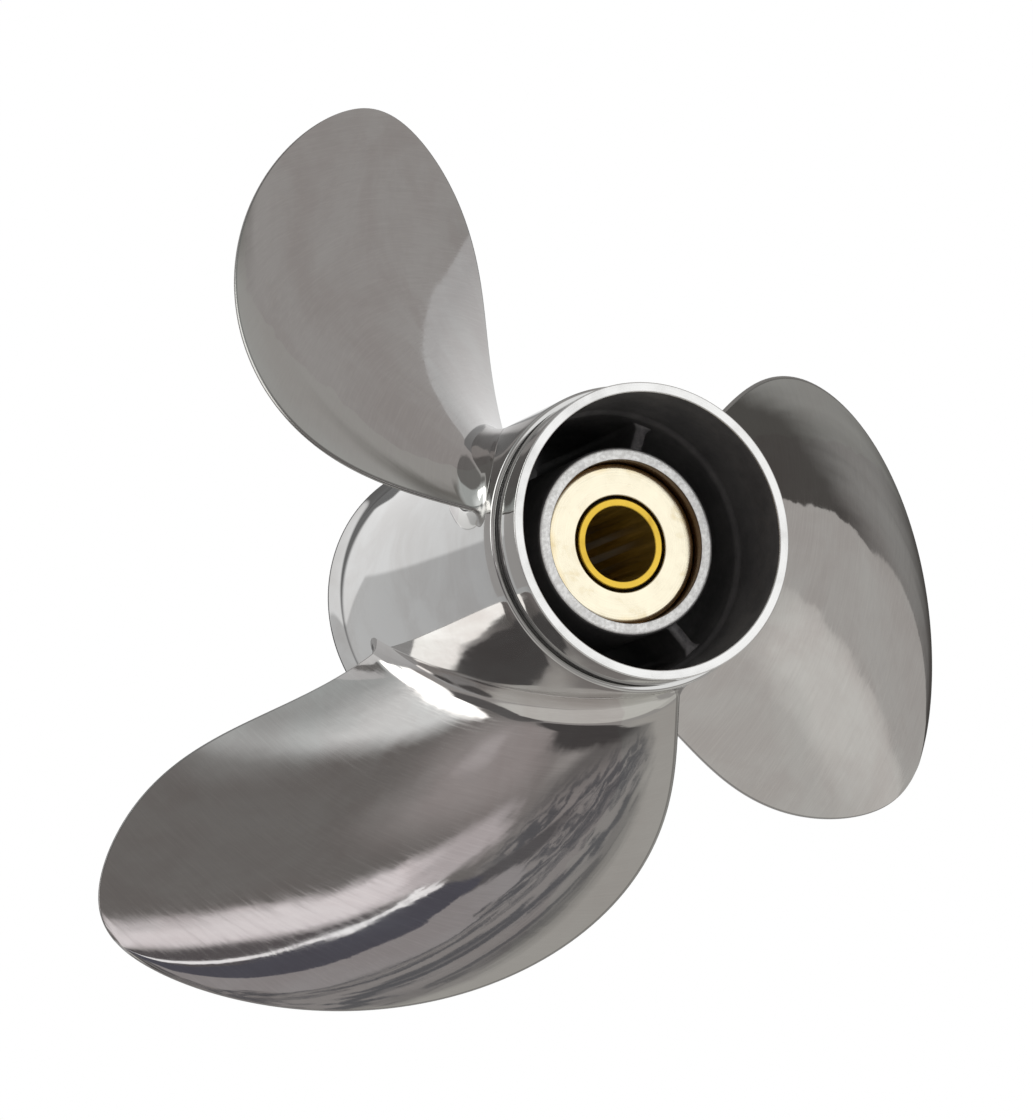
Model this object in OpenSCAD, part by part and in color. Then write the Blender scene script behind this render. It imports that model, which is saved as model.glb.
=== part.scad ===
// Three-blade stainless outboard propeller with a pressed-in rubber hub.
// +Z runs along the shaft towards the gearcase (forward), and z = 0 is the brass thrust face.
// The propeller stands on its flared aft end. Its blades are right-hand helices, and the
// root of blade_1 points along +Y.

/* [Propeller] */
// Diameter over the blade tips
prop_d = 384; // [370:1:400]
// Helix pitch where a blade meets the barrel
root_pitch = 465; // [430:5:500]
// Helix pitch at the blade tip
tip_pitch = 430; // [400:5:470]
// How much more pitch the middle of a blade has than a straight taper gives
mid_pitch_rise = 28; // [0:1:40]

/* [Blades] */
// How far aft of the root the tip lies, along the mid-chord line
rake = 77; // [60:0.5:80]
// How far the mid-chord line bows forward of a straight rake
rake_bow = 5; // [0:0.5:8]
// Angle by which the tip trails the root, seen from the front
skew = 25.6; // [15:0.2:35]
// Half the chord at the root, along the helix
root_half_chord = 69; // [60:1:74]
// Greatest thickness of a blade at the root
root_thick = 10; // [8:0.5:12]
// Thickness of a blade at the tip
tip_thick = 2.6; // [2:0.1:4]
// Radius of the rounded blade edges
edge_r = 0.8; // [0.6:0.1:1.2]
// Height of a blade's mean line over its chord
camber = 3.6; // [0:0.2:6]
// Radius of the fillet to the barrel at the blade edges
edge_fillet_r = 4.5; // [3:0.5:6]
// How much that radius has grown at mid-chord
fillet_swell = 4.5; // [0:0.5:6]

/* [Barrel] */
// Outer diameter of the barrel, the 4 1/4 inch gearcase class
barrel_d = 108; // [106:0.5:110]
// Diameter of the machined collar at the front
collar_d = 104; // [102:0.5:105]
// Bore of the front rim
rim_bore_d = 97; // [95:0.5:98]
// Exhaust bore of the barrel behind the rim
exhaust_bore_d = 94; // [92:0.5:95]
// Height of the front rim above the thrust face
rim_z = 27; // [25:0.5:29]
// Distance from the thrust face to the aft end
aft_len = 139; // [136:0.5:145]
// Outer diameter of the flared aft end
flare_d = 112; // [110:0.5:116]
// Length of the flared stretch
flare_len = 9; // [8:0.5:16]

/* [Inner hub] */
// Outer diameter of the inner hub
hub_d = 66.8; // [64:0.2:70]
// Bore that holds the thrust ring and the rubber bush
hub_bore_d = 57.7; // [56:0.1:59]
// Height of the inner hub's front face above the thrust face
hub_lip = 5; // [3:0.5:8]
// Distance from the thrust face to the inner hub's aft end
hub_len = 112; // [106:1:116]
// Thickness of the ribs between the inner hub and the barrel
rib_thick = 4.6; // [3.5:0.1:6]

/* [Drive sleeve and bush] */
// Bore of the sleeve's smooth front stretch
sleeve_bore_d = 26.5; // [26:0.1:27]
// Outer diameter of the sleeve
sleeve_d = 32.2; // [31:0.1:33]
// Inner diameter of the brass thrust ring
ring_bore_d = 34.3; // [34:0.1:36]
// Bevel round the thrust ring's front face
ring_bevel = 1.4; // [0.5:0.1:3]
// Tip diameter of the internal splines
spline_tip_d = 22.4; // [22:0.1:23]
// Number of internal splines
spline_count = 15; // [13:1:17]
// Radial running clearance around the rubber bush
bush_gap = 0.05; // [0.02:0.01:0.1]

/* [Hidden] */

steel = [0.66, 0.65, 0.64];
cast_steel = [0.80, 0.80, 0.79];
rib_paint = [0.16, 0.16, 0.16];
ring_brass = [0.93, 0.84, 0.62];
sleeve_brass = [0.86, 0.68, 0.25];
black_rubber = [0.10, 0.10, 0.10];

blade_step = 360 / 3;
blade_angle = 90;
rib_angle = 33.5;
round_fn = 200;

tip_r = prop_d / 2;
barrel_r = barrel_d / 2;
collar_r = collar_d / 2;
rim_bore_r = rim_bore_d / 2;
exhaust_r = exhaust_bore_d / 2;
flare_r = flare_d / 2;

// Barrel, front end: rim chamfer, relief groove behind the collar, rounded shoulder
rim_chamfer = 0.4;
groove_front = 14;
groove_back = 11.4;
groove_depth = 1;
shoulder_r = 1.2;
// Depths at which the rim bore starts and ends its step down to the exhaust bore
bore_step_front = -4;
bore_step_back = -6;
// Barrel, aft end: where the bore opens, its wall at the lip, the lip's own radius
bore_open = -110;
aft_wall = 3.6;
lip_r = 0.8;

// Inner hub: aft shoulder that stops the bush, and its taper
stop_len = 6;
stop_bore_r = 22;
hub_tail_len = 12;
hub_tail_drop = 3;
cast_round = 1.5;

// Thrust ring, bush and sleeve
ring_thick = 6;
ring_chamfer = 0.5;
end_gap = 0.5;
bush_front = -ring_thick - end_gap;
bush_back = -hub_len + stop_len + end_gap;
sleeve_back = -hub_len - 3;
smooth_len = 62;
spline_root_r = 12.9;
spline_space_w = 2.8;
sleeve_chamfer = 0.4;

// Ribs, with a widened foot at both ends
rib_front = -10;
rib_back = -98;
foot_w = 10;
foot_h = 1.6;

// --- Blade form: x runs from 0 at the root to 1 at the tip --------------------------------
root_r = barrel_r + 1;
root_z = -53;
span = tip_r - root_r;
// Growth of the half chord with x, x^2 and x^3
chord_growth = [55, 203, -212];
// Forward lead of the mid-chord line near the root, and its easing towards the tip
skew_lead = 1.4;
skew_ease = 8;

function radius(x) = root_r + span * x;
function bow(x) = 4 * x * (1 - x);
function pitch(x) = root_pitch + (tip_pitch - root_pitch) * x + mid_pitch_rise * bow(x);
function mid_z(x) = root_z - rake * x + rake_bow * bow(x);
function mid_angle(x) =
    blade_angle + skew_lead * x - (skew + skew_lead + skew_ease) * pow(x, 2) + skew_ease * pow(x, 3);
function full_chord(x) = root_half_chord + chord_growth * [x, pow(x, 2), pow(x, 3)];
function half_chord(x) = full_chord(x) * sqrt(1 - x);
function helix(x) = atan2(pitch(x), 2 * PI * radius(x));
function edge(x) = min(edge_r, 0.3 * half_chord(x));
function half_thick(x) = (tip_thick + (root_thick - tip_thick) * pow(1 - x, 1.4)) / 2;

// Across the chord, u runs from -1 at the trailing edge to 1 at the leading edge, and the
// fullness of a section is greatest ahead of its middle
nose_bias = 0.35;
function fullness(u) = (1 - u * u) * (1 + nose_bias * u);
function lens(x, u) = (half_thick(x) - edge(x)) * fullness(u);
function mean_rise(x, u) = camber * (0.6 + 0.4 * bow(x)) * (1 - pow(x, 4)) * fullness(u);

// The fillet is an arc tangent to the barrel that stops short of the blade's tangent and so
// ends in a soft crease; it is widest on the forward half of the chord
fillet_turn = 68;
fillet_start = 18;
function fillet_r(u) = edge_fillet_r + fillet_swell * (1 + u) * (1 - pow(u, 8));
function fillet_rise(u, a) = fillet_r(u) * (1 - cos(a));
function fillet_growth(u, a) = fillet_r(u) * (sin(fillet_turn) - sin(a));

// Keys of a section's points, [u, angle]: the forward face from leading to trailing edge,
// the round trailing edge, the aft face back, and the round leading edge
face_steps = 20;
edge_steps = 3;
edge_turn = 180 / edge_steps;
outline_keys = concat(
    [for (i = [0:face_steps]) [cos(180 * i / face_steps), 90]],
    [for (k = [1:edge_steps - 1]) [-1, 90 + edge_turn * k]],
    [for (i = [face_steps:-1:0]) [cos(180 * i / face_steps), -90]],
    [for (k = [1:edge_steps - 1]) [1, -90 + edge_turn * k]]
);
// A section's point as [along, off], where the fillet has grown the section by that much
function section_point(x, key, growth) =
    let (c = half_chord(x) - edge(x), e = edge(x) + growth, u = key[0], a = key[1])
    [c * u + e * cos(a), mean_rise(x, u) + (lens(x, u) + e) * sin(a)];

// The same point laid on the cylinder of radius r, along the helix
function blade_point(r, key, growth) =
    let (x = max(0, (r - root_r) / span), t = helix(x), p = section_point(x, key, growth),
         a = mid_angle(x) + (p[0] * cos(t) - p[1] * sin(t)) / r * 180 / PI)
    [r * cos(a), r * sin(a), mid_z(x) + p[0] * sin(t) + p[1] * cos(t)];

// Rings of points: one under the barrel's skin, some up the fillet, the rest out to the tip
sunk_r = barrel_r - 4;
last_r = tip_r - 0.2;
fillet_steps = 3;
span_steps = 26;
ring_count = 2 + fillet_steps + span_steps;
function fillet_angle(i) = fillet_start + (fillet_turn - fillet_start) * i / fillet_steps;
function outer_r(u, i) =
    let (crease_r = barrel_r + fillet_rise(u, fillet_turn))
    crease_r + (last_r - crease_r) * (1 - pow(1 - i / span_steps, 1.8));
function ring_point(ring, key) =
    let (u = key[0], a = fillet_angle(ring - 1))
    ring == 0 ? blade_point(sunk_r, key, fillet_growth(u, fillet_start))
    : ring <= fillet_steps + 1 ? blade_point(barrel_r + fillet_rise(u, a), key, fillet_growth(u, a))
    : blade_point(outer_r(u, ring - fillet_steps - 1), key, 0);

// Triangles that close an outline whose first point has the index base
outline_size = len(outline_keys);
aft_end = outline_size - edge_steps;
function cap(base) =
    [for (f = concat(
        [for (i = [0:face_steps - 1])
            each [[i, i + 1, aft_end - i - 1], [i, aft_end - i - 1, aft_end - i]]],
        [for (k = [1:edge_steps - 1]) [face_steps, face_steps + k, face_steps + k + 1]],
        [for (k = [1:edge_steps - 1]) [aft_end, aft_end + k, (aft_end + k + 1) % outline_size]]
    )) [for (v = f) base + v]];
function skin(rings) =
    [for (i = [0:rings - 2]) for (j = [0:outline_size - 1])
        let (a = i * outline_size + j, b = i * outline_size + (j + 1) % outline_size)
        each [[a, b + outline_size, b], [a, a + outline_size, b + outline_size]]];
function turned(faces) = [for (f = faces) [f[2], f[1], f[0]]];

module blade(k) {
    points = [for (ring = [0:ring_count - 1]) for (key = outline_keys) ring_point(ring, key)];
    color(steel)
        rotate([0, 0, (k - 1) * blade_step])
            difference() {
                polyhedron(
                    points = points,
                    faces = concat(skin(ring_count), cap(0), turned(cap((ring_count - 1) * outline_size)))
                );
                translate([0, 0, -aft_len])
                    cylinder(h = aft_len + rim_z, r = barrel_r, $fn = round_fn);
            }
}

// --- Barrel and inner hub -----------------------------------------------------------------
function arc(centre, r, from, to, steps = 6) =
    [for (i = [0:steps]) let (a = from + (to - from) * i / steps)
        centre + r * [cos(a), sin(a)]];

// The flare is an arc tangent to the barrel
flare_rise = flare_r - barrel_r;
flare_run = flare_len - lip_r;
flare_arc_r = (pow(flare_run, 2) + pow(flare_rise, 2)) / (2 * flare_rise);
flare_turn = asin(flare_run / flare_arc_r);

module barrel() {
    color(steel)
        rotate_extrude($fn = round_fn)
            polygon(concat(
                [[rim_bore_r, rim_z], [rim_bore_r, bore_step_front], [exhaust_r, bore_step_back],
                 [exhaust_r, bore_open], [flare_r - aft_wall, -aft_len]],
                arc([flare_r - lip_r, -aft_len + lip_r], lip_r, -90, 0, 3),
                arc([barrel_r + flare_arc_r, -aft_len + flare_len], flare_arc_r, 180 + flare_turn, 180),
                arc([barrel_r - shoulder_r, groove_back - shoulder_r], shoulder_r, 0, 90, 4),
                [[collar_r - groove_depth, groove_back], [collar_r - groove_depth, groove_front],
                 [collar_r, groove_front], [collar_r, rim_z - rim_chamfer], [collar_r - rim_chamfer, rim_z]]
            ));
}

module inner_hub() {
    hub_r = hub_d / 2;
    bore_r = hub_bore_d / 2;
    color(cast_steel)
        rotate_extrude($fn = round_fn)
            polygon(concat(
                [[bore_r, hub_lip], [bore_r, -hub_len + stop_len], [stop_bore_r, -hub_len + stop_len],
                 [stop_bore_r, -hub_len], [hub_r - hub_tail_drop, -hub_len], [hub_r, -hub_len + hub_tail_len]],
                arc([hub_r - cast_round, hub_lip - cast_round], cast_round, 0, 90, 4)
            ));
}

// A rib is cut from the ring between the inner hub and the exhaust bore, so that its ends
// follow both walls
module rib(k) {
    hub_r = hub_d / 2;
    rib_h = rib_front - rib_back;
    color(rib_paint)
        translate([0, 0, rib_back])
            rotate([0, 0, rib_angle + (k - 1) * blade_step])
                intersection() {
                    difference() {
                        cylinder(h = rib_h, r = exhaust_r, $fn = round_fn);
                        translate([0, 0, -1]) cylinder(h = rib_h + 2, r = hub_r, $fn = round_fn);
                    }
                    translate([hub_r - 2, 0, 0])
                        linear_extrude(rib_h)
                            rib_plan(exhaust_r - hub_r + 4);
                }
}

// Plan of a rib of the given length, thin in the middle and wide at both ends
module rib_plan(length) {
    foot = foot_h + 2;
    polygon([[0, -foot_w / 2], [foot, -rib_thick / 2], [length - foot, -rib_thick / 2],
             [length, -foot_w / 2], [length, foot_w / 2], [length - foot, rib_thick / 2],
             [foot, rib_thick / 2], [0, foot_w / 2]]);
}

// --- Drive parts --------------------------------------------------------------------------
module thrust_ring() {
    outer = hub_bore_d / 2;
    inner = ring_bore_d / 2;
    color(ring_brass)
        rotate_extrude($fn = round_fn)
            polygon([[inner, -ring_thick], [outer, -ring_thick], [outer, -ring_bevel],
                     [outer - ring_bevel, 0], [inner + ring_chamfer, 0], [inner, -ring_chamfer]]);
}

module rubber_bush() {
    color(black_rubber)
        translate([0, 0, bush_back])
            difference() {
                cylinder(h = bush_front - bush_back, r = hub_bore_d / 2 - bush_gap, $fn = round_fn);
                translate([0, 0, -1]) cylinder(h = hub_len, r = sleeve_d / 2, $fn = round_fn);
            }
}

module drive_sleeve() {
    outer = sleeve_d / 2;
    bore = sleeve_bore_d / 2;
    tip = spline_tip_d / 2;
    color(sleeve_brass)
        difference() {
            rotate_extrude($fn = round_fn)
                polygon([[bore, 0], [bore, -smooth_len], [tip, -smooth_len], [tip, sleeve_back],
                         [outer - sleeve_chamfer, sleeve_back], [outer, sleeve_back + sleeve_chamfer],
                         [outer, -sleeve_chamfer], [outer - sleeve_chamfer, 0]]);
            for (i = [0:spline_count - 1])
                rotate([0, 0, i * 360 / spline_count])
                    translate([tip - 1, -spline_space_w / 2, sleeve_back - 1])
                        cube([spline_root_r - tip + 1, spline_space_w, -sleeve_back - smooth_len + 2]);
        }
}

barrel();
inner_hub();
rib(1);  // rib_1
rib(2);  // rib_2
rib(3);  // rib_3
blade(1);  // blade_1
blade(2);  // blade_2
blade(3);  // blade_3
thrust_ring();
rubber_bush();
drive_sleeve();
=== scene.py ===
"""Looks of the stainless outboard propeller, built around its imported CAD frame.

Shapes are in millimetres in the CAD's own frame and become metres when a mesh is made.
Shaders work in metres. +Z is forward along the shaft, and z = 0 is the brass thrust face.
"""

import math

import bmesh
import bpy
import numpy as np
from mathutils import Matrix, Vector


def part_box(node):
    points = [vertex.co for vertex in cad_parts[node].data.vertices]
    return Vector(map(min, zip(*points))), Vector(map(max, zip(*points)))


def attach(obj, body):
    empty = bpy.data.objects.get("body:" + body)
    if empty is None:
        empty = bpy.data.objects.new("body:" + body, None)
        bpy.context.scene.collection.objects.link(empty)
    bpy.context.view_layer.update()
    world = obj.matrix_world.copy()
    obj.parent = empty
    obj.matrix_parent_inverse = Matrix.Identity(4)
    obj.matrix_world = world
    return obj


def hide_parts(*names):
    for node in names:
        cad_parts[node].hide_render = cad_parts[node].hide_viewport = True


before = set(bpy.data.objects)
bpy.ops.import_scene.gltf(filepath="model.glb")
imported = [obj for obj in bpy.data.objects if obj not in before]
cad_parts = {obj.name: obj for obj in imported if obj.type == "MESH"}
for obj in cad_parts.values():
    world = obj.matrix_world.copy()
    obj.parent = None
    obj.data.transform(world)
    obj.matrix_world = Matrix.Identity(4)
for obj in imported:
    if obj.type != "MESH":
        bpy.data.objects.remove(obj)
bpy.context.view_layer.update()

MM = 0.001
BODY = "propeller"
DRIVE = "drive"
BLADES = 3
TURN = 256  # steps round a lathe piece


# --- Sizes read from the frame ---------------------------------------------------------------
def outer_radius(node):
    low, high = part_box(node)
    return (high.x - low.x) / 2 / MM


def z_range(node):
    low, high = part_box(node)
    return low.z / MM, high.z / MM


AFT_Z, RIM_Z = z_range("barrel")
HUB_BACK, HUB_FRONT = z_range("inner_hub")
RIB_BACK, RIB_FRONT = z_range("rib_1")
RING_BACK, RING_FRONT = z_range("thrust_ring")
BUSH_BACK, BUSH_FRONT = z_range("rubber_bush")
SLEEVE_BACK, SLEEVE_FRONT = z_range("drive_sleeve")
FLARE_R = outer_radius("barrel")
HUB_R = outer_radius("inner_hub")
RING_R = outer_radius("thrust_ring")
BUSH_R = outer_radius("rubber_bush")
SLEEVE_R = outer_radius("drive_sleeve")

# Sizes that the boxes don't give, as in the CAD
BARREL_R = 54.0
COLLAR_R = 52.0
RIM_BORE_R = 48.5
EXHAUST_R = 47.0
GROOVE_FRONT = 14.0
GROOVE_BACK = 11.4
GROOVE_R = COLLAR_R - 1.0
FLARE_LEN = 9.0
LIP_R = 0.8
BORE_STEP = (-4.0, -6.0)
BORE_OPEN = -110.0
AFT_WALL = 3.6
STOP_R = 22.0
STOP_LEN = 6.0
HUB_TAIL_LEN = 12.0
HUB_TAIL_DROP = 3.0
RING_BORE_R = 17.15
RING_BEVEL = 1.4
SLEEVE_BORE_R = 13.25
SMOOTH_LEN = 62.0
SPLINE_TIP_R = 11.2
SPLINE_ROOT_R = 12.9
SPLINE_SPACE = 2.8
SPLINES = 15
RIB_ANGLE = 33.5
RIB_THICK = 4.6
RIB_FOOT = 10.0
RIB_SINK_IN, RIB_SINK_OUT = 0.2, 0.4  # how far its feet reach into the hub and the barrel
RIB_ROUNDING = ((0.0, 0.8), (0.4, 0.25), (1.2, 0.0))  # (depth, inset) from either end

# Blade form, as in the CAD
TIP_R = 192.0
ROOT_R = BARREL_R + 1
ROOT_Z = -53.0
ROOT_PITCH, TIP_PITCH, MID_PITCH_RISE = 465.0, 430.0, 28.0
RAKE, RAKE_BOW = 77.0, 5.0
BLADE_ANGLE = 90.0
SKEW, SKEW_LEAD, SKEW_EASE = 25.6, 1.4, 8.0
ROOT_HALF_CHORD = 69.0
CHORD_GROWTH = (55.0, 203.0, -212.0)
ROOT_THICK, TIP_THICK, THICK_TAPER = 10.0, 2.6, 1.4
EDGE_R, EDGE_SHARE = 0.8, 0.3
CAMBER, CAMBER_AT_ENDS, CAMBER_FADE = 3.6, 0.6, 4
NOSE_BIAS = 0.35
EDGE_FILLET_R, FILLET_SWELL, FILLET_FADE = 4.5, 4.5, 8
FILLET_TURN = math.radians(68)


# --- Meshes ----------------------------------------------------------------------------------
def face_outwards(mesh):
    """Turns a closed mesh's faces outwards."""
    work = bmesh.new()
    work.from_mesh(mesh)
    inside_out = work.calc_volume(signed=True) < 0
    work.free()
    if inside_out:
        mesh.flip_normals()


def make_object(name, points, faces, body, replaces=()):
    """A smooth piece from points in millimetres, riding on a body and standing for its nodes."""
    mesh = bpy.data.meshes.new(name)
    mesh.from_pydata((np.asarray(points, float) * MM).tolist(), [], faces)
    mesh.validate()
    face_outwards(mesh)
    mesh.polygons.foreach_set("use_smooth", [True] * len(mesh.polygons))
    piece = bpy.data.objects.new(name, mesh)
    bpy.context.scene.collection.objects.link(piece)
    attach(piece, body)
    if replaces:
        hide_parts(*replaces)
    return piece


def arc(cx, cy, r, start, end, steps=8):
    """Points of an arc in the profile plane, angles in degrees."""
    angles = np.radians(np.linspace(start, end, steps + 1))
    return [(cx + r * math.cos(a), cy + r * math.sin(a)) for a in angles]


MOST_OF_A_SIDE = 0.45  # a corner's rounding takes no more of either side
SHORTEST_ROUNDING = 1e-3


def softened(corners, default=0.3, steps=5):
    """A closed profile whose corners are rounded. A corner is (r, z) or (r, z, radius)."""
    out = []
    count = len(corners)
    for i, corner in enumerate(corners):
        here = np.array(corner[:2], float)
        radius = corner[2] if len(corner) > 2 else default
        back = np.array(corners[i - 1][:2], float) - here
        ahead = np.array(corners[(i + 1) % count][:2], float) - here
        back_len, ahead_len = np.linalg.norm(back), np.linalg.norm(ahead)
        reach = min(radius, MOST_OF_A_SIDE * back_len, MOST_OF_A_SIDE * ahead_len)
        if reach < SHORTEST_ROUNDING:
            out.append(tuple(here))
            continue
        start = here + back / back_len * reach
        end = here + ahead / ahead_len * reach
        for t in np.linspace(0, 1, steps + 1):
            out.append(tuple((1 - t) ** 2 * start + 2 * t * (1 - t) * here + t * t * end))
    return out


def split_long(profile, longest=6.0):
    """Adds points to a closed profile so that no step is longer than the limit."""
    out = []
    for i, p in enumerate(profile):
        q = profile[(i + 1) % len(profile)]
        parts = max(1, math.ceil(math.dist(p, q) / longest))
        for k in range(parts):
            out.append((p[0] + (q[0] - p[0]) * k / parts, p[1] + (q[1] - p[1]) * k / parts))
    return out


def wall_faces(rows, count, closed=False, flip=False):
    """Quads between rings of points, and from the last ring to the first if closed."""
    faces = []
    for i in range(rows if closed else rows - 1):
        a, b = i * count, (i + 1) % rows * count
        for j in range(count):
            k = (j + 1) % count
            quad = (a + j, b + j, b + k, a + k) if flip else (a + j, a + k, b + k, b + j)
            faces.append(quad)
    return faces


def turned(points, angle):
    """Points turned about Z."""
    return np.array(points) @ np.array(Matrix.Rotation(angle, 3, "Z")).T


def lathe(name, profile, body, replaces=(), turn=TURN):
    """Revolves a closed profile of (radius, z) points round Z."""
    profile = np.array(split_long(profile))
    angles = np.linspace(0, 2 * math.pi, turn, endpoint=False)
    points = np.stack(
        [
            np.outer(np.cos(angles), profile[:, 0]),
            np.outer(np.sin(angles), profile[:, 0]),
            np.tile(profile[:, 1], (turn, 1)),
        ],
        axis=-1,
    ).reshape(-1, 3)
    faces = wall_faces(turn, len(profile), closed=True)
    return make_object(name, points, faces, body, replaces)


def paint(piece, rules, default=0):
    """Gives each face the first material whose rule accepts it.

    A rule takes the face's radius and z in millimetres, and how far it faces out and up.
    """
    for face in piece.data.polygons:
        centre = face.center / MM
        radius = math.hypot(centre.x, centre.y)
        outward = (face.normal.x * centre.x + face.normal.y * centre.y) / max(radius, 1e-6)
        face.material_index = default
        for index, rule in rules:
            if rule(radius, centre.z, outward, face.normal.z):
                face.material_index = index
                break


# --- Blades ----------------------------------------------------------------------------------
FACE_STEPS = 80
EDGE_STEPS = 10
FILLET_STEPS = 16
SPAN_STEPS = 90
TIP_CROWDING = 1.8  # above 1, the rings lie closer together towards the tip
SINK = 0.35  # how far the root reaches into the barrel
LAST_R = TIP_R - 0.2


def bow(x):
    """0 at the root and the tip, and 1 half way."""
    return 4 * x * (1 - x)


def helix(x):
    """Pitch angle at x, the share of the way from the root to the tip."""
    pitch = ROOT_PITCH + (TIP_PITCH - ROOT_PITCH) * x + MID_PITCH_RISE * bow(x)
    return math.atan2(pitch, 2 * math.pi * (ROOT_R + (TIP_R - ROOT_R) * x))


def mid_z(x):
    return ROOT_Z - RAKE * x + RAKE_BOW * bow(x)


def mid_angle(x):
    turn = SKEW_LEAD * x - (SKEW + SKEW_LEAD + SKEW_EASE) * x**2 + SKEW_EASE * x**3
    return math.radians(BLADE_ANGLE + turn)


def half_chord(x):
    growth = sum(g * x ** (i + 1) for i, g in enumerate(CHORD_GROWTH))
    return (ROOT_HALF_CHORD + growth) * math.sqrt(1 - x)


def edge_radius(x):
    return min(EDGE_R, EDGE_SHARE * half_chord(x))


def fullness(u):
    """Share of a section's depth at u, from -1 at the trailing edge to 1 at the leading edge."""
    return (1 - u * u) * (1 + NOSE_BIAS * u)


def lens(x, u):
    half = (TIP_THICK + (ROOT_THICK - TIP_THICK) * (1 - x) ** THICK_TAPER) / 2
    return (half - edge_radius(x)) * fullness(u)


def mean_rise(x, u):
    along_span = CAMBER_AT_ENDS + (1 - CAMBER_AT_ENDS) * bow(x)
    return CAMBER * along_span * (1 - x**CAMBER_FADE) * fullness(u)


def fillet_radius(u):
    return EDGE_FILLET_R + FILLET_SWELL * (1 + u) * (1 - u**FILLET_FADE)


def outline_keys():
    """(u, angle) of a section's points, in the CAD's order."""
    face = [math.cos(math.pi * i / FACE_STEPS) for i in range(FACE_STEPS + 1)]
    turn = math.pi / EDGE_STEPS
    keys = [(u, math.pi / 2) for u in face]
    keys += [(-1.0, math.pi / 2 + turn * k) for k in range(1, EDGE_STEPS)]
    keys += [(u, -math.pi / 2) for u in reversed(face)]
    keys += [(1.0, -math.pi / 2 + turn * k) for k in range(1, EDGE_STEPS)]
    return keys


def section_point(x, u, angle, growth):
    """(along, off) of a section's point, where the fillet has grown the section."""
    edge = edge_radius(x) + growth
    along = (half_chord(x) - edge_radius(x)) * u + edge * math.cos(angle)
    return along, mean_rise(x, u) + (lens(x, u) + edge) * math.sin(angle)


def on_cylinder(along, off, r, x):
    """Wraps a section's point round a cylinder of radius r, at its pitch angle."""
    t = helix(x)
    angle = mid_angle(x) + (along * math.cos(t) - off * math.sin(t)) / r
    z = mid_z(x) + along * math.sin(t) + off * math.cos(t)
    return (r * math.cos(angle), r * math.sin(angle), z)


def blade_ring(ring, u):
    """(radius, fillet growth) of a ring's point, from just under the barrel's skin to the tip."""
    fillet = fillet_radius(u)
    if ring <= FILLET_STEPS:
        a = FILLET_TURN * max(0, ring) / FILLET_STEPS
        sink = SINK if ring < 0 else 0.0
        growth = fillet * (math.sin(FILLET_TURN) - math.sin(a))
        return BARREL_R - sink + fillet * (1 - math.cos(a)), growth
    crease = BARREL_R + fillet * (1 - math.cos(FILLET_TURN))
    share = (ring - FILLET_STEPS) / SPAN_STEPS
    return crease + (LAST_R - crease) * (1 - (1 - share) ** TIP_CROWDING), 0.0


def closing_faces(count):
    """Faces that close off one ring of an outline with this many points."""
    aft = 2 * FACE_STEPS + EDGE_STEPS
    faces = [(i, i + 1, aft - i - 1, aft - i) for i in range(FACE_STEPS)]
    faces.append(tuple(range(FACE_STEPS, FACE_STEPS + EDGE_STEPS + 1)))
    faces.append(tuple(i % count for i in range(aft, aft + EDGE_STEPS + 1)))
    return faces


def blade(k):
    """A blade with a "sheet" attribute: metres along the chord, radius in metres, and u."""
    points, sheet = [], []
    outline = outline_keys()
    rings = range(-1, FILLET_STEPS + SPAN_STEPS + 1)
    for ring in rings:
        for u, angle in outline:
            r, growth = blade_ring(ring, u)
            x = max(0.0, (r - ROOT_R) / (TIP_R - ROOT_R))
            along, off = section_point(x, u, angle, growth)
            points.append(on_cylinder(along, off, r, x))
            sheet.append((along * MM, r * MM, u))
    count = len(outline)
    faces = wall_faces(len(rings), count, flip=True)
    for base, flip in ((0, False), ((len(rings) - 1) * count, True)):
        for face in closing_faces(count):
            face = tuple(base + i for i in face)
            faces.append(face[::-1] if flip else face)
    points = turned(points, 2 * math.pi * (k - 1) / BLADES)
    piece = make_object(
        f"blade_{k}_polished", points, faces, BODY, [f"blade_{k}"]
    )
    attribute = piece.data.attributes.new("sheet", "FLOAT_VECTOR", "POINT")
    attribute.data.foreach_set("vector", np.array(sheet).ravel())
    return piece


# --- Barrel, inner hub and ribs --------------------------------------------------------------
def barrel():
    """The outer shell, whose aft end flares out along an arc."""
    rise, run = FLARE_R - BARREL_R, FLARE_LEN - LIP_R
    radius = (run**2 + rise**2) / (2 * rise)
    turn = math.degrees(math.asin(run / radius))
    flare = arc(BARREL_R + radius, AFT_Z + FLARE_LEN, radius, 180 + turn, 180, 20)
    profile = softened(
        [(RIM_BORE_R, RIM_Z, 0.5), (RIM_BORE_R, BORE_STEP[0], 1.0), (EXHAUST_R, BORE_STEP[1], 1.0),
         (EXHAUST_R, BORE_OPEN, 10.0), (FLARE_R - AFT_WALL, AFT_Z, 0.6), (FLARE_R, AFT_Z, LIP_R),
         (*flare[0], 0.0)]
        + [(*p, 0.0) for p in flare[1:]]
        + [(BARREL_R, GROOVE_BACK, 1.1), (GROOVE_R, GROOVE_BACK, 0.4),
           (GROOVE_R, GROOVE_FRONT, 0.4), (COLLAR_R, GROOVE_FRONT, 0.5), (COLLAR_R, RIM_Z, 0.45)]
    )
    return lathe("barrel_shell", profile, BODY, ["barrel"])


def inner_hub():
    stop_z = HUB_BACK + STOP_LEN
    profile = softened(
        [(RING_R, HUB_FRONT, 0.5), (RING_R, stop_z, 0.3), (STOP_R, stop_z, 0.3),
         (STOP_R, HUB_BACK, 0.6), (HUB_R - HUB_TAIL_DROP, HUB_BACK, 1.2),
         (HUB_R, HUB_BACK + HUB_TAIL_LEN, 6.0), (HUB_R, HUB_FRONT, 1.4)]
    )
    return lathe("inner_hub_cast", profile, BODY, ["inner_hub"])


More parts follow.
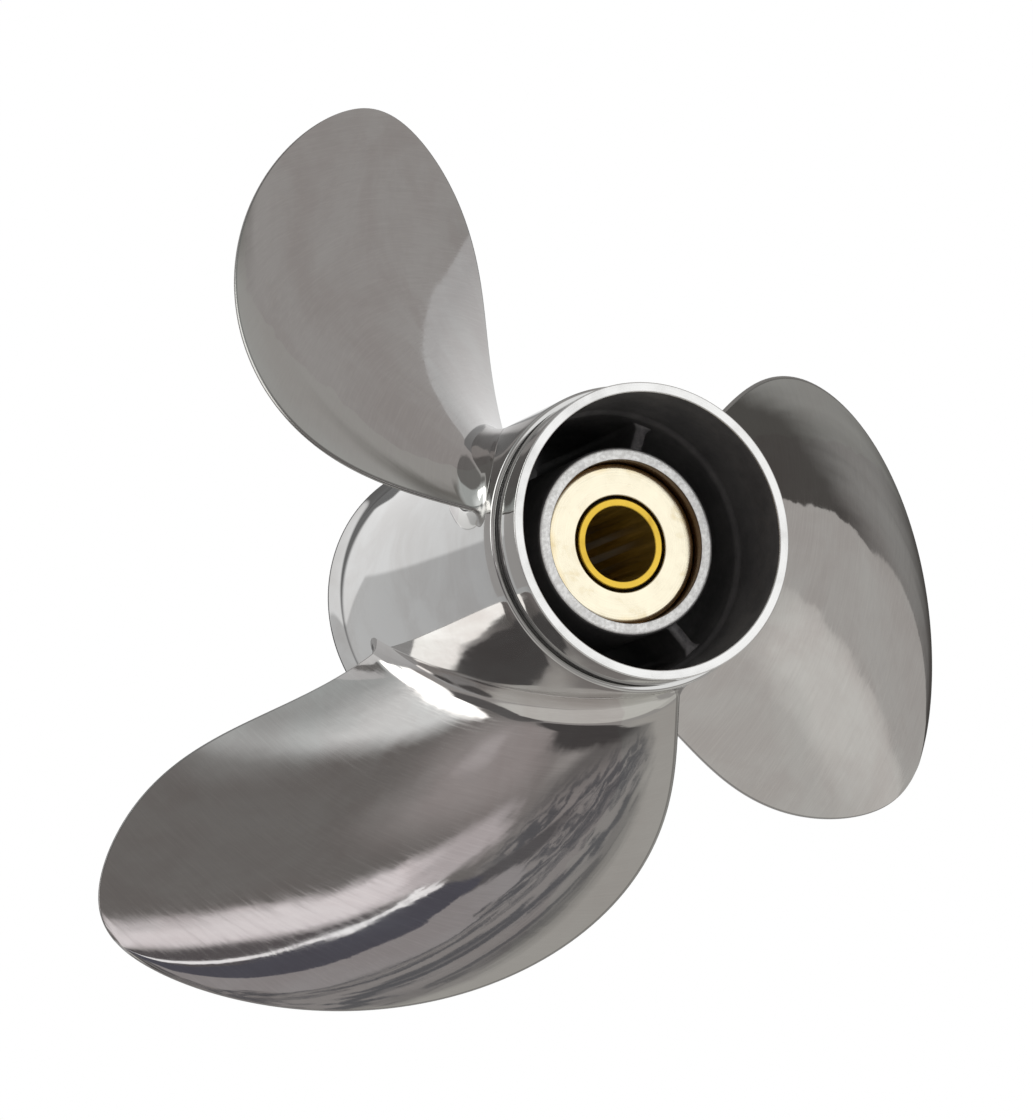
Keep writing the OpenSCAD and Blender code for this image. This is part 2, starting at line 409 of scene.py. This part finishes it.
def rib(k):
    """A web with concave feet that follow the inner hub and the barrel's bore."""
    half, foot = RIB_THICK / 2, RIB_FOOT / 2
    reach = foot - half
    quarter = np.linspace(0, math.pi / 2, 7)
    plan = []
    for side in (1, -1):
        edge = [(HUB_R - RIB_SINK_IN, side * foot)]
        edge += [
            (HUB_R + reach - reach * math.cos(a), side * (half + reach * (1 - math.sin(a))))
            for a in quarter
        ]
        edge += [
            (EXHAUST_R - reach + reach * math.sin(a), side * (half + reach * (1 - math.cos(a))))
            for a in quarter
        ]
        edge += [(EXHAUST_R + RIB_SINK_OUT, side * foot)]
        plan += edge if side > 0 else edge[::-1]
    n = len(plan)
    levels = [(RIB_BACK + depth, inset) for depth, inset in RIB_ROUNDING]
    levels += [(RIB_FRONT - depth, inset) for depth, inset in reversed(RIB_ROUNDING)]
    points = [(px, py - math.copysign(inset, py), z) for z, inset in levels for px, py in plan]
    faces = [
        (i * n + (j + 1) % n, i * n + j, (i + 1) * n + j, (i + 1) * n + (j + 1) % n)
        for i in range(len(levels) - 1)
        for j in range(n)
    ]
    m = n // 2
    last = (len(levels) - 1) * n
    for j in range(m - 1):
        faces.append((j, j + 1, n - 2 - j, n - 1 - j))
        faces.append((last + j + 1, last + j, last + n - 1 - j, last + n - 2 - j))
    points = turned(points, math.radians(RIB_ANGLE) + 2 * math.pi * (k - 1) / BLADES)
    return make_object(f"rib_{k}_web", points, faces, BODY, [f"rib_{k}"])


# --- Drive parts -----------------------------------------------------------------------------
def thrust_ring():
    profile = softened(
        [(RING_BORE_R, RING_BACK), (RING_R, RING_BACK), (RING_R, RING_FRONT - RING_BEVEL, 0.8),
         (RING_R - RING_BEVEL, RING_FRONT, 1.4), (RING_BORE_R, RING_FRONT, 0.5)]
    )
    return lathe("thrust_ring_brass", profile, BODY, ["thrust_ring"])


def rubber_bush():
    profile = softened(
        [(SLEEVE_R, BUSH_FRONT), (BUSH_R, BUSH_FRONT, 1.5), (BUSH_R, BUSH_BACK, 1.5),
         (SLEEVE_R, BUSH_BACK)]
    )
    return lathe("rubber_bush_moulded", profile, DRIVE, ["rubber_bush"])


def drive_sleeve():
    """A sleeve whose bore carries splines behind its smooth front stretch."""
    step = 2 * math.pi / SPLINES
    root, tip = (math.asin(SPLINE_SPACE / 2 / r) for r in (SPLINE_ROOT_R, SPLINE_TIP_R))
    tooth = [(a, SPLINE_ROOT_R) for a in np.linspace(-root, root, 7)]
    tooth += [(a, SPLINE_TIP_R) for a in np.linspace(tip, step - tip, 9)]
    angles = np.array([a + step * i for i in range(SPLINES) for a, r in tooth])
    splined = np.array([r for a, r in tooth] * SPLINES)
    soft, step_down = 0.5, 0.2
    walls = [
        [(splined, SLEEVE_BACK + soft), (splined + soft, SLEEVE_BACK)],
        arc(SLEEVE_R - soft, SLEEVE_BACK + soft, soft, -90, 0),
        arc(SLEEVE_R - soft, SLEEVE_FRONT - soft, soft, 0, 90),
        arc(SLEEVE_BORE_R + soft, SLEEVE_FRONT - soft, soft, 90, 180),
        [(SLEEVE_BORE_R, -SMOOTH_LEN), (splined + soft, -SMOOTH_LEN - step_down),
         (splined, -SMOOTH_LEN - soft)],
    ]
    rings = [ring for wall in walls for ring in wall]
    points = []
    for radius, z in rings:
        r = np.broadcast_to(radius, angles.shape)
        level = np.full(len(angles), z)
        points += np.stack([r * np.cos(angles), r * np.sin(angles), level], axis=-1).tolist()
    faces = wall_faces(len(rings), len(angles), closed=True)
    return make_object("drive_sleeve_brass", points, faces, DRIVE, ["drive_sleeve"])


pieces = {
    "barrel": barrel(),
    "inner_hub": inner_hub(),
    "ring": thrust_ring(),
    "bush": rubber_bush(),
    "sleeve": drive_sleeve(),
}
blades = [blade(k) for k in range(1, BLADES + 1)]
ribs = [rib(k) for k in range(1, BLADES + 1)]


# --- Shader helpers --------------------------------------------------------------------------
class Graph:
    """Adds shader nodes to one node tree. Each helper returns an output socket."""

    def __init__(self, tree):
        self.tree = tree

    def add(self, kind, inputs=(), **settings):
        node = self.tree.nodes.new("ShaderNode" + kind)
        for key, value in settings.items():
            setattr(node, key, value)
        for key, value in dict(inputs).items():
            self.put(node.inputs[key], value)
        return node

    def put(self, socket, value):
        if isinstance(value, bpy.types.NodeSocket):
            self.tree.links.new(value, socket)
        else:
            socket.default_value = value

    def math(self, operation, *values):
        return self.add("Math", enumerate(values), operation=operation).outputs[0]

    def plus(self, a, b):
        return self.math("ADD", a, b)

    def minus(self, a, b):
        return self.math("SUBTRACT", a, b)

    def times(self, a, b):
        return self.math("MULTIPLY", a, b)

    def vector_math(self, operation, *values):
        return self.add("VectorMath", enumerate(values), operation=operation).outputs[0]

    def ramp(self, value, low, high, start=0.0, end=1.0, shape="SMOOTHSTEP"):
        """Carries a value from low..high to start..end."""
        inputs = {"Value": value, "From Min": low, "From Max": high,
                  "To Min": start, "To Max": end}
        return self.add("MapRange", inputs, interpolation_type=shape).outputs["Result"]

    def line(self, value, low, high, start, end):
        """As ramp, without easing."""
        return self.ramp(value, low, high, start, end, "LINEAR")

    def mix(self, factor, a, b):
        """Mixes two colours."""
        node = self.add("Mix", data_type="RGBA")
        for index, value in ((0, factor), (6, a), (7, b)):
            self.put(node.inputs[index], value)
        return node.outputs[2]

    def noise(self, vector, scale, detail=2.0, roughness=0.5, distortion=0.0):
        inputs = {"Vector": vector, "Scale": scale, "Detail": detail, "Roughness": roughness,
                  "Distortion": distortion}
        return self.add("TexNoise", inputs).outputs["Fac"]

    def stretch(self, vector, factors):
        return self.vector_math("MULTIPLY", vector, factors)

    def split(self, vector):
        return self.add("SeparateXYZ", {"Vector": vector}).outputs

    def length(self, x, y):
        return self.math("SQRT", self.plus(self.times(x, x), self.times(y, y)))

    def azimuth(self, x, y):
        return self.math("DEGREES", self.math("ARCTAN2", y, x))

    def bump(self, height, depth, normal=None):
        """Bump of the given depth in metres."""
        inputs = {"Height": height, "Distance": depth, "Strength": 1.0}
        if normal is not None:
            inputs["Normal"] = normal
        return self.add("Bump", inputs).outputs["Normal"]

    def place(self):
        """A piece's own coordinates in metres, which move with the piece."""
        return self.add("TexCoord").outputs["Object"]

    def attribute(self, name):
        return self.add("Attribute", attribute_name=name).outputs["Vector"]


def finish(name, colour, metallic, roughness, **sockets):
    """A Principled material with its constant values on the shader's own sockets."""
    material = bpy.data.materials.new(name)
    material.use_nodes = True
    shader = material.node_tree.nodes["Principled BSDF"]
    shader.inputs["Base Color"].default_value = (*colour, 1)
    shader.inputs["Metallic"].default_value = metallic
    shader.inputs["Roughness"].default_value = roughness
    for key, value in sockets.items():
        shader.inputs[key.replace("_", " ")].default_value = value
    return material, Graph(material.node_tree), shader.inputs


def rgba(*colour):
    return (*colour, 1.0)


# --- Materials -------------------------------------------------------------------------------
WARM_PATCH, PALE_PATCH = rgba(0.555, 0.528, 0.518), rgba(0.615, 0.605, 0.595)
BRIGHT_STREAK, DARK_STROKE = rgba(0.78, 0.76, 0.74), rgba(0.47, 0.455, 0.445)
# On the next line: a lighter tone painted near the leading edge as a painted reflection, and a
# dark tone painted along the edges as a painted dark outline.
LEAD_REFLECTION_TONE, PAINTED_DARK_EDGE = rgba(0.67, 0.68, 0.65), rgba(0.17, 0.165, 0.16)


def blade_steel():
    """Hand-polished stainless, from satin aft to mirror-like towards the leading edge, with ground
    edges.

    It works in the blade's "sheet" attribute, so brush lines follow the chord. A lighter tone is
    painted over a band near the leading edge as a painted reflection, and a dark tone along the
    ground edges as a painted dark outline.
    """
    material, g, inputs = finish("polished blade steel", (0.6, 0.58, 0.57), 1.0, 0.1)
    sheet = g.attribute("sheet")
    _, radius, u = g.split(sheet)
    flat = g.stretch(sheet, (1.0, 1.0, 0.0))
    sway = g.noise(flat, 18.0, 1.0)
    lines = g.vector_math("ADD", g.stretch(flat, (60.0, 1500.0, 0.0)), g.times(sway, 12.0))
    streaks = g.noise(lines, 1.0, 3.0, 0.6)
    strokes = g.noise(g.stretch(flat, (45.0, 520.0, 0.0)), 1.0, 2.0, 0.6)
    patches = g.noise(g.stretch(flat, (1.2, 0.9, 0.0)), 22.0, 4.0, 0.6, 0.4)
    waves = g.noise(g.stretch(flat, (1.0, 0.55, 0.0)), 34.0, 1.5, 0.4)
    ripples = g.noise(g.stretch(flat, (0.5, 1.0, 0.0)), 170.0, 2.0, 0.5, 0.3)

    uneven_u = g.plus(u, g.line(g.noise(flat, 45.0, 3.0, 0.6), 0.3, 0.7, -0.05, 0.05))
    lead = g.minus(uneven_u, g.ramp(radius, 0.115, 0.175, 0.0, 0.32))
    painted_lead_reflection = g.ramp(lead, 0.70, 0.715)
    satin = g.times(g.ramp(uneven_u, 0.35, 0.05), g.ramp(u, -0.95, -0.45, 0.25, 1.0))
    mirror = g.minus(1.0, satin)
    ground = g.ramp(g.math("ABSOLUTE", u), 0.996, 0.9995)

    tone = g.mix(g.ramp(patches, 0.36, 0.64), WARM_PATCH, PALE_PATCH)
    tone = g.mix(g.ramp(streaks, 0.4, 0.75, 0.0, 0.16), tone, BRIGHT_STREAK)
    tone = g.mix(g.ramp(strokes, 0.45, 0.75, 0.0, 0.14), tone, DARK_STROKE)
    # A lighter tone painted over the leading band: a painted reflection.
    tone = g.mix(g.times(painted_lead_reflection, 0.5), tone, LEAD_REFLECTION_TONE)
    # The ground edges are also darkened here: a painted dark outline, painted shade.
    g.put(inputs["Base Color"], g.mix(g.times(ground, 0.55), tone, PAINTED_DARK_EDGE))

    brushed = g.line(g.plus(streaks, strokes), 0.8, 1.3, 0.04, 0.13)
    brushed = g.plus(brushed, g.line(patches, 0.3, 0.7, -0.015, 0.02))
    polished = g.line(streaks, 0.3, 0.7, 0.03, 0.05)
    rough = g.plus(g.times(brushed, satin), g.times(polished, mirror))
    g.put(inputs["Roughness"], g.plus(rough, g.times(ground, 0.2)))

    normal = g.bump(waves, 0.00016)
    normal = g.bump(ripples, 0.000012, normal)
    brush_depth = g.times(streaks, g.ramp(satin, 0.0, 1.0, 0.2, 1.0))
    g.put(inputs["Normal"], g.bump(brush_depth, 0.000004, normal))
    return material


def barrel_steel():
    """The mirror-polished outside of the barrel."""
    material, g, inputs = finish("polished barrel steel", (0.6, 0.59, 0.58), 1.0, 0.05)
    place = g.place()
    patches = g.noise(place, 32.0, 4.0, 0.6, 0.4)
    scratches = g.noise(g.stretch(place, (300.0, 300.0, 1600.0)), 1.0, 3.0, 0.7)
    waves = g.noise(place, 28.0, 1.0)
    dark, pale = rgba(0.565, 0.555, 0.545), rgba(0.635, 0.635, 0.63)
    g.put(inputs["Base Color"], g.mix(g.ramp(patches, 0.35, 0.65), dark, pale))
    g.put(inputs["Roughness"], g.line(scratches, 0.35, 0.75, 0.035, 0.09))
    g.put(inputs["Normal"], g.bump(scratches, 0.0000008, g.bump(waves, 0.00012)))
    return material


def lathe_lines(g, place, per_metre):
    """The distance from the shaft's axis, and fine tool lines that run round that axis."""
    x, y, z = g.split(place)
    radius = g.length(x, y)
    rings = {"X": g.times(radius, per_metre), "Y": g.times(z, per_metre)}
    return radius, g.noise(g.add("CombineXYZ", rings).outputs[0], 1.0, 3.0, 0.7)


def turned_steel(name, colour, low, high, depth):
    """Machined stainless with lathe lines. Roughness goes from low to high."""
    material, g, inputs = finish(name, colour, 1.0, (low + high) / 2)
    place = g.place()
    _, lines = lathe_lines(g, place, 2600.0)
    wear = g.noise(place, 90.0, 4.0, 0.6)
    dull = tuple(0.93 * c for c in colour)
    g.put(inputs["Base Color"], g.mix(g.ramp(wear, 0.5, 0.75), rgba(*colour), rgba(*dull)))
    g.put(inputs["Roughness"], g.line(g.plus(lines, wear), 0.7, 1.3, low, high))
    g.put(inputs["Normal"], g.bump(lines, depth))
    return material


def cast_face():
    """The hub's dull as-cast face, speckled with small pits."""
    material, g, inputs = finish("cast hub steel", (0.62, 0.63, 0.63), 1.0, 0.45)
    place = g.place()
    grain = g.noise(place, 900.0, 4.0, 0.65)
    blotch = g.noise(place, 160.0, 3.0, 0.6)
    pit, skin, stain = rgba(0.84, 0.84, 0.825), rgba(0.98, 0.98, 0.965), rgba(0.70, 0.70, 0.70)
    tone = g.mix(g.ramp(grain, 0.40, 0.62), pit, skin)
    g.put(inputs["Base Color"], g.mix(g.ramp(blotch, 0.5, 0.7, 0.0, 0.4), tone, stain))
    g.put(inputs["Roughness"], g.line(grain, 0.3, 0.7, 0.5, 0.36))
    g.put(inputs["Normal"], g.bump(grain, 0.00004))
    return material


def black_paint():
    """Satin black inside the exhaust passages, over a slightly rough casting."""
    material, g, inputs = finish(
        "black passage paint", (0.012, 0.012, 0.012), 0.0, 0.42, Specular_IOR_Level=0.35
    )
    place = g.place()
    peel = g.noise(place, 700.0, 3.0, 0.6)
    soot = g.noise(place, 60.0, 4.0, 0.6)
    clean, sooty = rgba(0.115, 0.113, 0.115), rgba(0.18, 0.176, 0.174)
    g.put(inputs["Base Color"], g.mix(g.ramp(soot, 0.35, 0.7), clean, sooty))
    g.put(inputs["Roughness"], g.line(peel, 0.3, 0.7, 0.42, 0.58))
    g.put(inputs["Normal"], g.bump(peel, 0.00003))
    return material


def lit_edge_paint():
    """Black paint made a lighter, glossier grey on the ribs' front edges: painted light."""
    material, g, inputs = finish(
        "passage paint with painted light", (0.05, 0.05, 0.05), 0.0, 0.2, Specular_IOR_Level=0.4
    )
    grain = g.noise(g.place(), 500.0, 4.0, 0.6)
    dark, pale = rgba(0.20, 0.195, 0.20), rgba(0.30, 0.29, 0.30)
    g.put(inputs["Base Color"], g.mix(g.ramp(grain, 0.35, 0.7), dark, pale))
    g.put(inputs["Roughness"], g.line(grain, 0.3, 0.7, 0.14, 0.28))
    g.put(inputs["Normal"], g.bump(grain, 0.00003))
    return material


def brass(name, bright, dull, low, high, rim=None):
    """Turned brass with lathe lines and tarnish, and a painted golden shade near a rim's radius.
    """
    material, g, inputs = finish(name, bright, 1.0, (low + high) / 2)
    place = g.place()
    radius, lines = lathe_lines(g, place, 2200.0)
    stain = g.noise(place, 110.0, 4.0, 0.6, 0.6)
    tone = g.mix(g.ramp(stain, 0.55, 0.75, 0.0, 0.45), rgba(*bright), rgba(*dull))
    # Painted shade: the colour turns a darker gold over the last 4 mm towards the rim.
    if rim:
        uneven = g.line(g.noise(place, 45.0, 2.0, 0.5), 0.3, 0.7, -0.004, 0.002)
        painted_rim_shade = g.ramp(g.plus(radius, uneven), rim - 0.004, rim, 0.0, 0.8)
        tone = g.mix(painted_rim_shade, tone, rgba(*dull))
    g.put(inputs["Base Color"], g.mix(g.ramp(lines, 0.5, 0.8, 0.0, 0.15), tone, rgba(*dull)))
    g.put(inputs["Roughness"], g.line(g.plus(lines, stain), 0.7, 1.3, low, high))
    g.put(inputs["Normal"], g.bump(lines, 0.000004))
    return material


def dark_brown_bore():
    """The sleeve's bore, a darker and less metallic brown than the sleeve, lightly streaked."""
    material, g, inputs = finish("dark brown bore", (0.08, 0.05, 0.01), 0.4, 0.4)
    streaks = g.noise(g.stretch(g.place(), (500.0, 500.0, 40.0)), 1.0, 3.0, 0.6)
    deep_brown, pale_brown = rgba(0.34, 0.22, 0.035), rgba(0.52, 0.35, 0.08)
    g.put(inputs["Base Color"], g.mix(g.ramp(streaks, 0.35, 0.75), deep_brown, pale_brown))
    g.put(inputs["Roughness"], g.line(streaks, 0.3, 0.7, 0.28, 0.45))
    g.put(inputs["Normal"], g.bump(streaks, 0.00002))
    return material


def moulded_rubber():
    """The cushion's black rubber, with a faint grey bloom."""
    material, g, inputs = finish(
        "black rubber", (0.02, 0.02, 0.02), 0.0, 0.6, Specular_IOR_Level=0.3
    )
    place = g.place()
    grain = g.noise(place, 1100.0, 3.0, 0.6)
    bloom = g.noise(place, 90.0, 4.0)
    black, grey = rgba(0.012, 0.012, 0.012), rgba(0.035, 0.034, 0.033)
    g.put(inputs["Base Color"], g.mix(g.ramp(bloom, 0.4, 0.7), black, grey))
    g.put(inputs["Roughness"], g.line(grain, 0.3, 0.7, 0.5, 0.7))
    g.put(inputs["Normal"], g.bump(grain, 0.00005))
    return material


def dress(piece, *materials):
    for material in materials:
        piece.data.materials.append(material)


paint_black = black_paint()
steel = blade_steel()
for piece in blades:
    dress(piece, steel)

lit_edge_black = lit_edge_paint()
LIT_EDGES = 1
# The ribs' forward faces take the lighter grey: painted light where light falls on them.
for piece in ribs:
    dress(piece, paint_black, lit_edge_black)
    paint(piece, [(LIT_EDGES, lambda r, z, out, up: up > 0.5)])

dress(
    pieces["barrel"],
    barrel_steel(),
    turned_steel("machined rim", (0.82, 0.82, 0.81), 0.16, 0.30, 0.000004),
    paint_black,
    turned_steel("turned collar", (0.60, 0.60, 0.59), 0.03, 0.07, 0.000001),
)
MACHINED, PAINTED, TURNED = 1, 2, 3
RIM_EDGE = RIM_Z - 0.8
UNPAINTED_R = FLARE_R - 3
GROOVE_WALL_R = COLLAR_R - 0.15
paint(pieces["barrel"], [
    (PAINTED, lambda r, z, out, up: out < -0.3 and r < UNPAINTED_R and z < RIM_EDGE),
    (MACHINED, lambda r, z, out, up: z > RIM_EDGE and up > 0.3),
    # The groove's end walls take the black paint too, so the groove shows as a dark line.
    (PAINTED, lambda r, z, out, up: r < GROOVE_WALL_R and abs(up) > 0.4 and z > GROOVE_BACK - 0.3),
    (TURNED, lambda r, z, out, up: z > GROOVE_BACK - 0.5),
])

# The hub's bores get a dark brown steel: painted shade in the recess and a painted reflection of
# the brass ring.
dress(
    pieces["inner_hub"],
    cast_face(),
    paint_black,
    turned_steel("bored hub steel with painted shade", (0.17, 0.115, 0.075), 0.2, 0.34, 0.000003),
)
BLACKENED, SHADED_BORES = 1, 2
paint(pieces["inner_hub"], [
    (BLACKENED, lambda r, z, out, up: out > 0.7),
    (SHADED_BORES, lambda r, z, out, up: out < -0.5),
])

# The golden tone is the ring's tarnish and also its painted shade near the rim.
PALE_BRASS, GOLDEN_TARNISH_AND_RIM_SHADE = (0.96, 0.89, 0.70), (0.84, 0.66, 0.34)
YELLOW_BRASS, AGED_BRASS = (0.82, 0.55, 0.075), (0.66, 0.39, 0.05)
dress(pieces["ring"], brass("pale brass", PALE_BRASS, GOLDEN_TARNISH_AND_RIM_SHADE, 0.18, 0.32, RING_R * MM))
dress(pieces["bush"], moulded_rubber())
dress(pieces["sleeve"], brass("yellow brass", YELLOW_BRASS, AGED_BRASS, 0.22, 0.36), dark_brown_bore())
DARK_BORE = 1
paint(pieces["sleeve"], [(DARK_BORE, lambda r, z, out, up: r < SLEEVE_BORE_R + 0.1)])


# --- Stage -----------------------------------------------------------------------------------
# The light panels and dark screens that the polished faces mirror, each one over those before
# it: (azimuth, elevation, half width, half height, tilt, softness, colour), in degrees as seen
# from the propeller.
GREY_WALL = (0.42, 0.405, 0.395)
FAR_PANELS = [
    (345, 66, 34, 20, 0, 0.35, (1.15, 1.15, 1.15)),
    (48.5, 4, 8, 7.5, 0, 0.45, (0.20, 0.19, 0.18)),
    (262, 15, 25, 24, 0, 0.03, (0.61, 0.60, 0.575)),
    (276, 17, 9, 12, 0, 0.4, (0.78, 0.77, 0.74)),
    (318, -4, 16, 20, 0, 0.02, (0.10, 0.095, 0.09)),
    (325, 6.5, 24, 8, -30, 0.4, (0.36, 0.355, 0.345)),
    (307, 16.3, 12, 6.3, 0, 0.04, (0.53, 0.52, 0.50)),
    (294.5, 12, 9.7, 24, 0, 0.02, (0.54, 0.53, 0.51)),
    (112, 24, 46, 30, 0, 0.1, (0.215, 0.205, 0.198)),
    (138, 18, 17, 13, 0, 0.6, (0.42, 0.385, 0.38)),
    (132, 14, 4, 4, 0, 0.6, (0.54, 0.50, 0.50)),
    (96.6, -10.2, 42, 20, -28, 0.24, (0.99, 1.02, 1.02)),
    (71, -4, 20, 26, 0, 0.45, (0.49, 0.51, 0.505)),
    (190, 38, 32, 13, 0, 0.12, (0.20, 0.193, 0.19)),
]
NEAR_PANELS = [
    (212, 33, 13, 20, -38, 0.3, (0.47, 0.45, 0.43)),
    (212, -14, 44, 14, 0, 0.1, (0.72, 0.71, 0.68)),
    (62, -22, 22, 12, 0, 0.1, (0.20, 0.195, 0.19)),
    (112.3, -17, 24, 13.8, 28, 0.03, (2.3, 2.3, 2.25)),
    (154, -10, 15, 15, 0, 0.04, (0.14, 0.135, 0.135)),
    (134, -25.6, 9, 9, 50, 0.15, (2.1, 2.1, 2.05)),
    (142, 51, 8, 4.5, -30, 0.3, (0.14, 0.13, 0.135)),
    (134, 44.8, 15, 4.8, -30, 0.35, (1.06, 1.0, 1.02)),
    (147.5, 36.5, 7, 4.5, -30, 0.5, (0.66, 0.62, 0.63)),
    (166, 47, 7, 5.5, 0, 0.08, (0.40, 0.38, 0.385)),
    (164, 40.6, 11, 1.7, -20, 0.3, (0.14, 0.135, 0.14)),
    (154.5, 47.5, 6.2, 5.8, 0, 0.05, (0.115, 0.115, 0.14)),
    (147.2, 47, 6, 1.1, -68, 0.12, (1.35, 1.35, 1.37)),
    (172, 17, 19, 9, 14, 0.12, (0.09, 0.085, 0.085)),
]
# A patch of layered dark and grey lines, over the far panels and under the near ones
LAYERS = (178, 42, 20, 11, 0, 0.3)
LAYER_DARK, LAYER_GREY = rgba(0.14, 0.14, 0.15), rgba(0.35, 0.33, 0.325)
TABLE_R = 195.0
NOTCH = (105, 166, 122.0)  # the table's smaller radius between two azimuths
STAGE_R = 6000.0
FLOOR_GAP = 0.3


def emission(g, colour, strength=1.0):
    return g.add("Emission", {"Color": colour, "Strength": strength}).outputs[0]


def stage_piece(name, points, faces, build, seen):
    """A glowing piece of the stage, either seen by the camera or only lighting the propeller."""
    mesh = bpy.data.meshes.new(name)
    mesh.from_pydata((np.asarray(points, float) * MM).tolist(), [], faces)
    piece = bpy.data.objects.new(name, mesh)
    bpy.context.scene.collection.objects.link(piece)
    material = bpy.data.materials.new(name)
    material.use_nodes = True
    material.node_tree.nodes.clear()
    g = Graph(material.node_tree)
    g.add("OutputMaterial", {"Surface": build(g)})
    mesh.materials.append(material)
    piece.visible_camera = seen
    for other in ("diffuse", "glossy", "transmission", "volume_scatter", "shadow"):
        setattr(piece, f"visible_{other}", not seen)


def disc(radius, z, notch=None):
    """A flat disc, with a smaller radius between the notch's two azimuths."""
    points = []
    for degrees in range(360):
        inside = notch and notch[0] <= degrees <= notch[1]
        r, a = notch[2] if inside else radius, math.radians(degrees)
        points.append((r * math.cos(a), r * math.sin(a), z))
    return points, [list(range(360))]


def plain_white(g):
    return emission(g, rgba(1, 1, 1))


def table_glow(g):
    """A glowing white table top, with painted shadows of the propeller on it: a contact shadow
    round its foot and shadows of blades 1 and 2. Its glow fades with distance, a painted pool of
    light.
    """
    x, y, _ = g.split(g.place())
    distance = g.length(x, y)
    azimuth = g.math("WRAP", g.azimuth(x, y), 360.0, 0.0)
    # The glow fades from the foot outwards: a painted pool of light.
    glow = g.line(distance, 0.060, 0.165, 1.0, 0.65)
    # A painted contact shadow round the propeller's foot, wider on one side.
    foot = g.ramp(azimuth, 99.0, 89.0, 0.0576, 0.061)
    painted_contact_shadow = g.ramp(g.minus(distance, foot), 0.0, 0.0014, 0.18, 1.0)
    # A painted shadow of blade 2, whose edge slants with distance.
    start = g.line(distance, 0.059, 0.067, 150.0, 130.0)
    shadow_2 = g.times(g.ramp(g.minus(azimuth, start), 0.0, 3.0), g.ramp(azimuth, 240.0, 190.0))
    lit_2 = g.line(shadow_2, 0.0, 1.0, 1.0, 0.66)
    # A painted shadow under blade 1.
    lit_1 = g.math("MAXIMUM", g.ramp(azimuth, 37.0, 42.0, 0.9, 0.35), g.ramp(azimuth, 76.0, 84.0))
    lit = g.times(g.times(painted_contact_shadow, lit_1), lit_2)
    return emission(g, rgba(1, 1, 1), g.times(glow, lit))


def stage():
    ground = AFT_Z - FLOOR_GAP
    stage_piece("floor", *disc(STAGE_R, ground), plain_white, seen=True)
    heights = (ground - 1, STAGE_R)
    corners = [(x * STAGE_R, y * STAGE_R, z) for z in heights for x in (-1, 1) for y in (-1, 1)]
    walls = [(0, 1, 3, 2), (4, 6, 7, 5), (0, 4, 5, 1), (2, 3, 7, 6), (0, 2, 6, 4), (1, 5, 7, 3)]
    stage_piece("backdrop", corners, walls, plain_white, seen=True)
    stage_piece("table_glow", *disc(TABLE_R, ground, NOTCH), table_glow, seen=False)


def panel_mask(g, azimuth, elevation, panel):
    """1 inside a rounded panel and 0 outside it."""
    at, height, half_width, half_height, tilt, softness = panel[:6]
    across = g.math("WRAP", g.minus(azimuth, at), 180.0, -180.0)
    up = g.minus(elevation, height)
    c, s = math.cos(math.radians(tilt)), math.sin(math.radians(tilt))
    a = g.plus(g.times(across, c / half_width), g.times(up, s / half_width))
    b = g.minus(g.times(up, c / half_height), g.times(across, s / half_height))
    a_4, b_4 = (g.math("POWER", g.math("ABSOLUTE", value), 4.0) for value in (a, b))
    reach = g.math("POWER", g.plus(a_4, b_4), 0.25)
    return g.ramp(reach, 1 + softness, 1 - softness)


def studio():
    """The world that the polished faces mirror, with edges that waver like hand-worked metal."""
    world = bpy.data.worlds.new("studio")
    bpy.context.scene.world = world
    world.use_nodes = True
    g = Graph(world.node_tree)
    direction = g.add("TexCoord").outputs["Generated"]
    x, y, z = g.split(direction)
    elevation = g.math("DEGREES", g.math("ARCSINE", z))
    sway = g.line(g.noise(direction, 9.0, 2.0, 0.5), 0.3, 0.7, -1.2, 1.2)
    tremble = g.line(g.noise(direction, 26.0, 3.0, 0.5), 0.3, 0.7, -0.8, 0.8)
    tremble = g.times(tremble, g.ramp(elevation, 25.0, 40.0, 0.8, 2.6))
    azimuth = g.plus(g.azimuth(x, y), g.plus(sway, tremble))

    def mask(panel):
        return panel_mask(g, azimuth, elevation, panel)

    colour = rgba(*GREY_WALL)
    for panel in FAR_PANELS:
        colour = g.mix(mask(panel), colour, rgba(*panel[-1]))
    level = g.plus(g.times(azimuth, 0.30), g.times(elevation, 0.42))
    level = g.plus(level, g.times(g.noise(direction, 18.0, 3.0, 0.6), 4.0))
    layer = g.noise(g.add("CombineXYZ", {"X": level}).outputs[0], 0.7, 2.0, 0.6)
    shade = g.mix(g.ramp(layer, 0.47, 0.53), LAYER_DARK, LAYER_GREY)
    colour = g.mix(mask(LAYERS), colour, shade)
    for panel in NEAR_PANELS:
        colour = g.mix(mask(panel), colour, rgba(*panel[-1]))
    g.put(world.node_tree.nodes["Background"].inputs["Color"], colour)


stage()
studio()


# --- Camera ----------------------------------------------------------------------------------
CAMERA_AT = (-707.67, 196.26, 1461.47)
CAMERA_ROLL = -66.967
LOOK_AZIMUTH = -14.799
LOOK_ELEVATION = -64.571
LENS = 150.79
SENSOR_WIDTH = 36
FARTHEST = 50


def camera():
    data = bpy.data.cameras.new("camera")
    data.lens = LENS
    data.sensor_width = SENSOR_WIDTH
    data.clip_end = FARTHEST
    cam = bpy.data.objects.new("camera", data)
    bpy.context.scene.collection.objects.link(cam)
    az, el = math.radians(LOOK_AZIMUTH), math.radians(LOOK_ELEVATION)
    forward = Vector((math.cos(el) * math.cos(az), math.cos(el) * math.sin(az), math.sin(el)))
    level_up = (Vector((0, 0, 1)) - forward * forward.z).normalized()
    side = forward.cross(level_up)
    roll = math.radians(CAMERA_ROLL)
    up = level_up * math.cos(roll) + side * math.sin(roll)
    right = forward.cross(up)
    turn = Matrix((right, up, -forward)).transposed().to_4x4()
    cam.matrix_world = Matrix.Translation(Vector(CAMERA_AT) * MM) @ turn
    bpy.context.scene.camera = cam


camera()
bpy.context.scene.view_settings.view_transform = "Standard"
